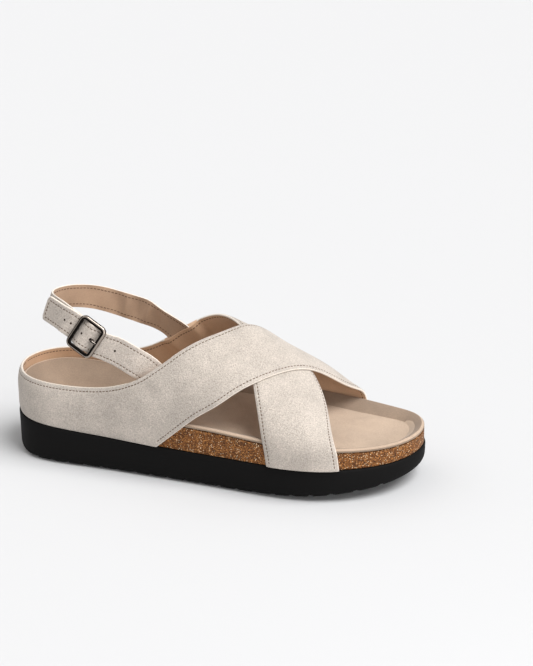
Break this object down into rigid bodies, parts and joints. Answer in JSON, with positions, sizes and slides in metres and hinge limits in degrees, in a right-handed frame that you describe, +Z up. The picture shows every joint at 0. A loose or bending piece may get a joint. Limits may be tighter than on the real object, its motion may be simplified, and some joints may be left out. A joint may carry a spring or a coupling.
{
  "type": "cross strap sandal",
  "caption": "Right thick-soled sandal: two wide suede bands cross over the instep and wrap the heel, with a buckled strap round the ankle over a cork and black foam sole.",
  "frame": {"origin": "on the floor, under the middle of the sole's length and width", "axes": "+X from heel to toe, +Y to the inner (big toe) side, +Z up from the floor"},
  "size_m": [0.255, 0.0933, 0.1019],
  "materials": {
    "black_foam_rubber": "matt moulded foam rubber",
    "cork": "sealed granulated cork",
    "footbed_suede": "soft suede footbed cover",
    "upper_suede": "pale suede with raw cut edges",
    "sling_suede": "pale suede, smooth lining inside",
    "strap_suede": "pale suede, stitched near its edges",
    "gunmetal": "dark gunmetal plating",
    "prong_gunmetal": "dark gunmetal plating"
  },
  "bodies": {
    "root": {"outsole": "black_foam_rubber", "midsole": "cork", "insole": "footbed_suede", "upper": "upper_suede", "sling_strap": "sling_suede", "buckle_strap": "strap_suede", "buckle_frame": "gunmetal", "buckle_prong": "prong_gunmetal"}
  },
  "joints": []
}
